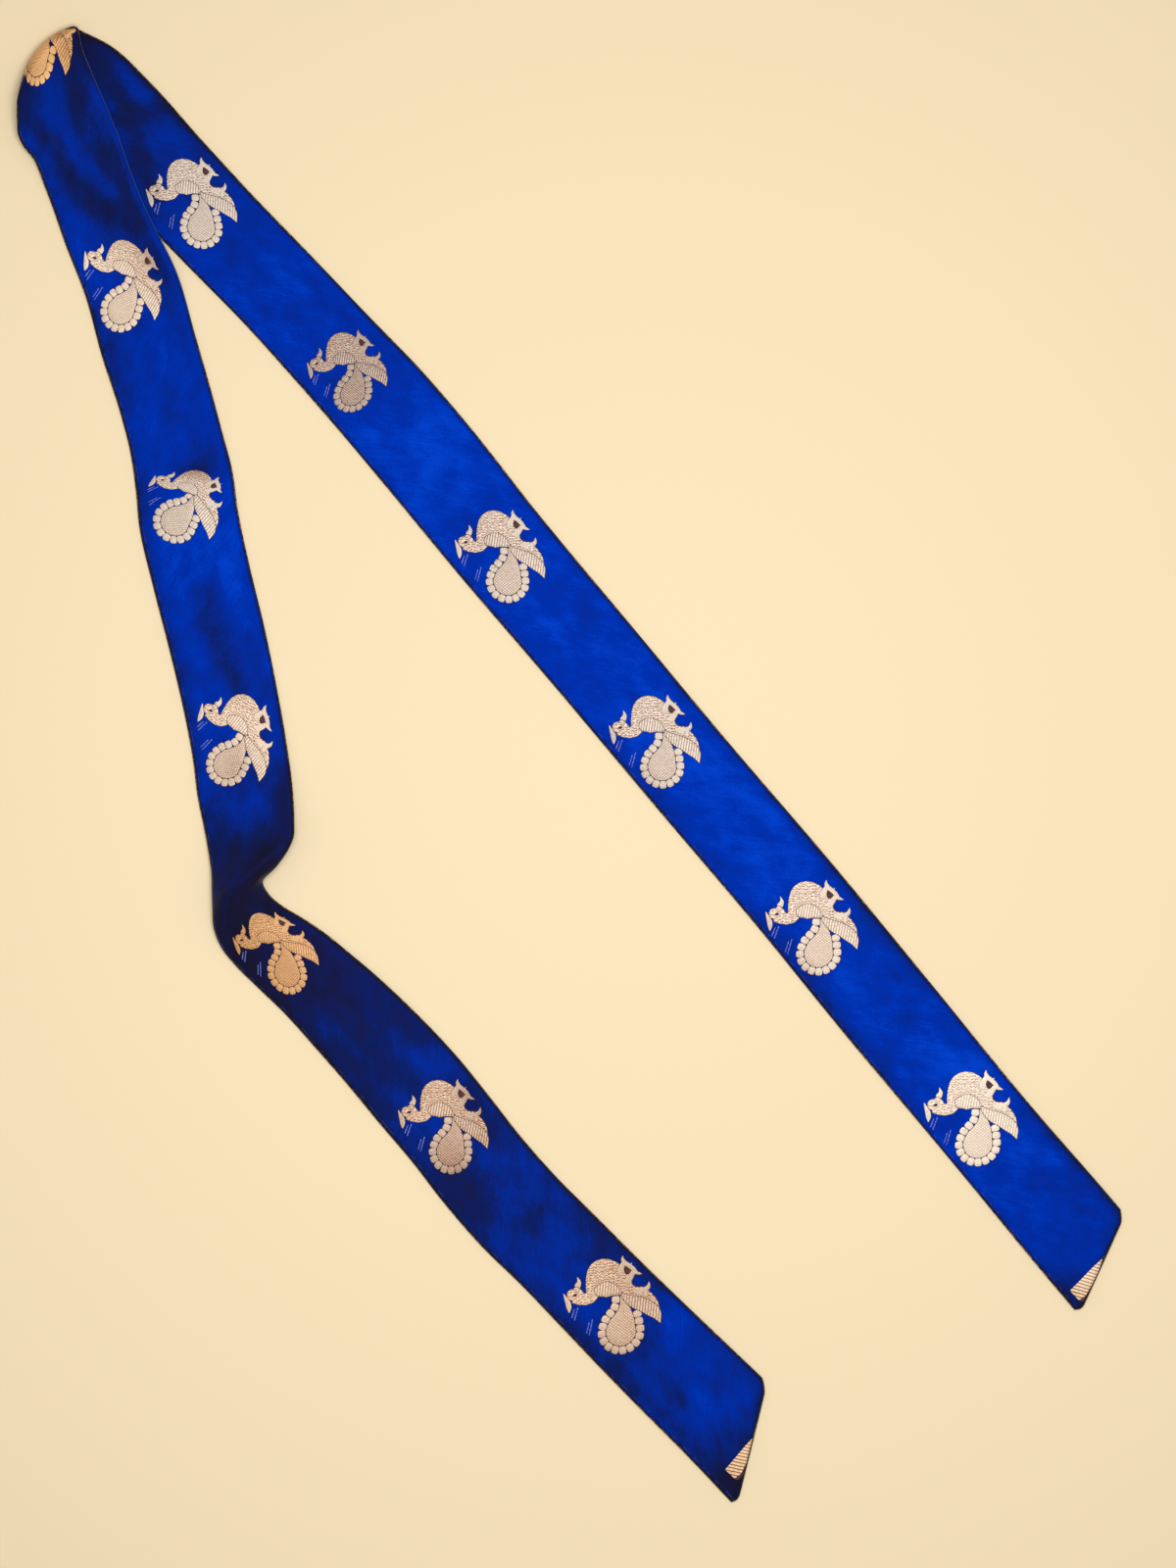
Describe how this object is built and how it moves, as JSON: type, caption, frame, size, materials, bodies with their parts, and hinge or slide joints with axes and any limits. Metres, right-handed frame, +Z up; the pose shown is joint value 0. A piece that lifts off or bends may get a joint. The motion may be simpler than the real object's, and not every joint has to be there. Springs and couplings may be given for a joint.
{
  "type": "skinny silk scarf",
  "caption": "Long narrow double-sided silk brocade scarf with slanted ends and woven peacock motifs, laid flat and doubled back on itself with a soft roll at the turn.",
  "frame": {"origin": "centre of the scarf's bounding box, on the table it lies on", "axes": "+X to the right and +Y up the table as the picture shows it laid out, +Z up from the table"},
  "size_m": [0.5847, 0.7828, 0.0147],
  "materials": {
    "silk": "royal blue woven silk with a soft satin sheen",
    "zari": "pale gold and silver metallic brocade thread",
    "edge_thread": "dark brown and old gold edging thread"
  },
  "bodies": {
    "root": {"front_right_tail": "silk", "back_right_tail": "silk", "front_fold": "silk", "back_fold": "silk", "front_left_tail": "silk", "back_left_tail": "silk", "front_bend": "silk", "back_bend": "silk", "front_left_end": "silk", "back_left_end": "silk"}
  },
  "joints": []
}
